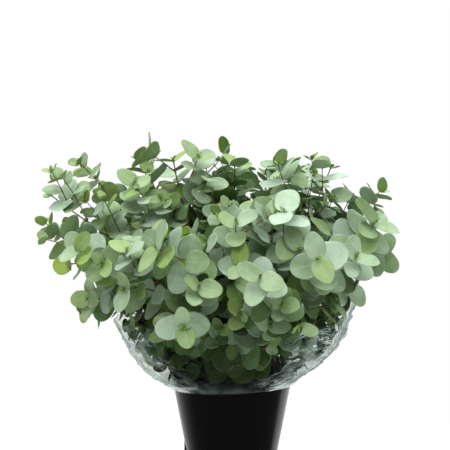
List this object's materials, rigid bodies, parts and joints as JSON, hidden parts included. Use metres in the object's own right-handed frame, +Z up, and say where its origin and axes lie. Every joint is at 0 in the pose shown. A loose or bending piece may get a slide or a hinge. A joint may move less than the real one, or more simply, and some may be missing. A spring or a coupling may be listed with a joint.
{
  "type": "eucalyptus bunch in a bucket",
  "caption": "Bunch of cut eucalyptus stems with paired round leaves, standing in water in a tapered bucket, with a clear film sleeve gathered round it.",
  "frame": {"origin": "centre of the underside of the bucket's base, on the surface that it stands on", "axes": "+Z up along the bucket's axis; the front that the picture shows faces -Y, with +X to its right"},
  "size_m": [0.654, 0.6288, 0.7068],
  "materials": {
    "leafy_green": "living foliage: waxy, glaucous grey-green blades on reddish brown woody stems, low gloss",
    "black_plastic": "injection moulded black polypropylene, satin",
    "clear_film": "clear crinkled packaging film, glossy",
    "water": "clear water"
  },
  "bodies": {
    "root": {"bucket": "black_plastic", "water": "water", "film_sleeve": "clear_film", "leafy_stem_01": "leafy_green", "leafy_stem_02": "leafy_green", "leafy_stem_03": "leafy_green", "leafy_stem_04": "leafy_green", "leafy_stem_05": "leafy_green", "leafy_stem_06": "leafy_green", "leafy_stem_07": "leafy_green", "leafy_stem_08": "leafy_green", "leafy_stem_09": "leafy_green", "leafy_stem_10": "leafy_green", "leafy_stem_11": "leafy_green", "leafy_stem_12": "leafy_green", "leafy_stem_13": "leafy_green", "leafy_stem_14": "leafy_green", "leafy_stem_15": "leafy_green", "leafy_stem_16": "leafy_green", "leafy_stem_17": "leafy_green", "leafy_stem_18": "leafy_green", "leafy_stem_19": "leafy_green", "leafy_stem_20": "leafy_green", "leafy_stem_21": "leafy_green", "leafy_stem_22": "leafy_green", "leafy_stem_23": "leafy_green", "leafy_stem_24": "leafy_green", "leafy_stem_25": "leafy_green", "leafy_stem_26": "leafy_green", "leafy_stem_27": "leafy_green", "leafy_stem_28": "leafy_green", "leafy_stem_29": "leafy_green", "leafy_stem_30": "leafy_green", "leafy_stem_31": "leafy_green"}
  },
  "joints": []
}
